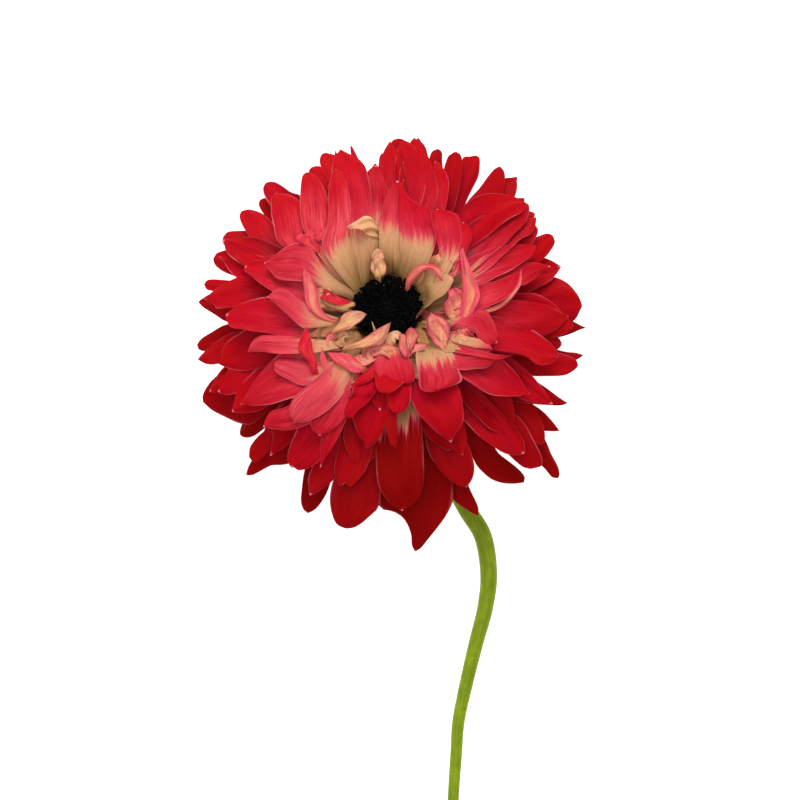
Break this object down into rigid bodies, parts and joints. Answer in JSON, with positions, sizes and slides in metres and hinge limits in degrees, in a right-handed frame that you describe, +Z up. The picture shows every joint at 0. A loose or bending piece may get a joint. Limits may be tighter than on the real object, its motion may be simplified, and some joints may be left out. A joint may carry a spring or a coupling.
{
  "type": "anemone flower",
  "caption": "Cut double red anemone bloom with layered petals, pale petal bases and a black eye, on a bare curved green stem, lying on a surface",
  "frame": {"origin": "middle of the flower's footprint, on the surface it lies on", "axes": "+Z up from the surface, +Y along the flower from the cut end of the stem to the bloom"},
  "size_m": [0.1, 0.1778, 0.0486],
  "materials": {
    "petal": "soft petal, red with cream bases",
    "anther": "dull black, dusty",
    "pistil": "velvety black",
    "stem": "satin green, finely ribbed"
  },
  "bodies": {
    "root": {"petals": "petal", "stamens": "anther", "pistil": "pistil", "stem": "stem"}
  },
  "joints": []
}
